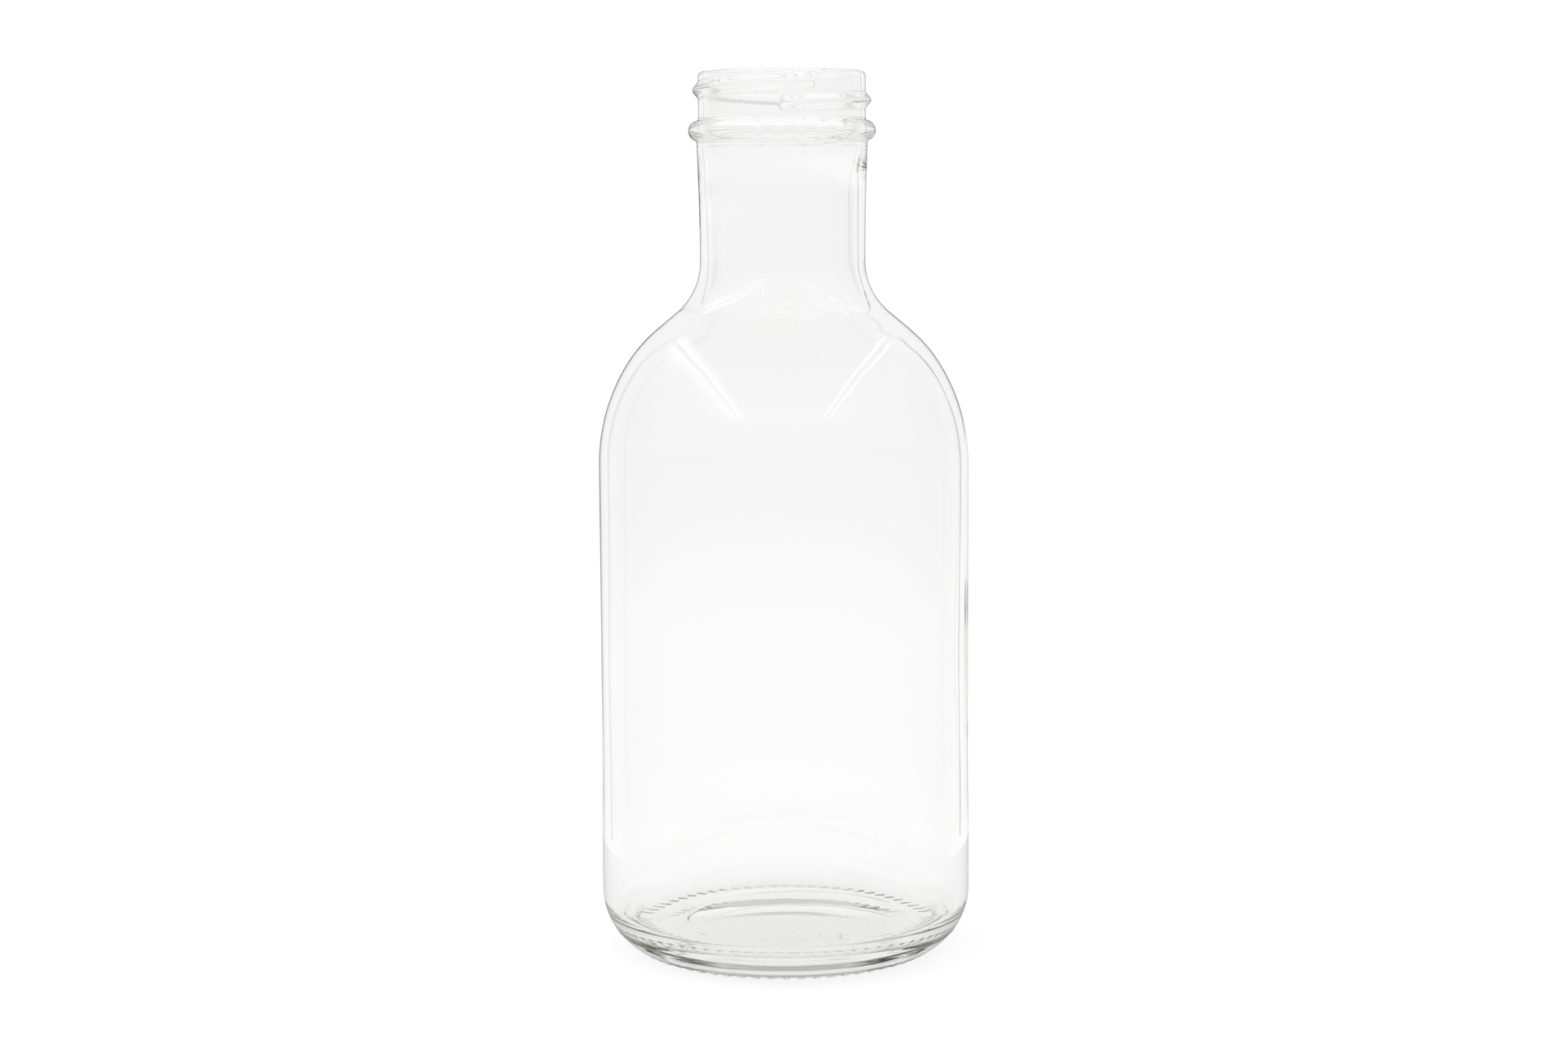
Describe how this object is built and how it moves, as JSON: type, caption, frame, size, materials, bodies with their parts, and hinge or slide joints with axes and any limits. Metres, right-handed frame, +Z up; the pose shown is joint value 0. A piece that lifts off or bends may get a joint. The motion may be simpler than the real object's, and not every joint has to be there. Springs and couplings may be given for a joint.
{
  "type": "glass milk bottle",
  "caption": "Clear glass bottle with a straight body, domed shoulder, slim neck and a screw-threaded mouth, for milk and other drinks.",
  "frame": {"origin": "middle of the plane that the bottle stands on, on the bottle's axis", "axes": "+Z up along the bottle's axis towards the mouth; -Y is the front, where the thread starts and ends; +X is to the right seen from the front"},
  "size_m": [0.0778, 0.0778, 0.1839],
  "materials": {
    "clear_glass": "clear, fire-polished soda-lime glass with a faint green-grey tint"
  },
  "bodies": {
    "root": {"finish": "clear_glass", "thread": "clear_glass", "transfer_bead": "clear_glass", "neck": "clear_glass", "shoulder": "clear_glass", "sidewall": "clear_glass", "heel": "clear_glass", "base": "clear_glass"}
  },
  "joints": []
}
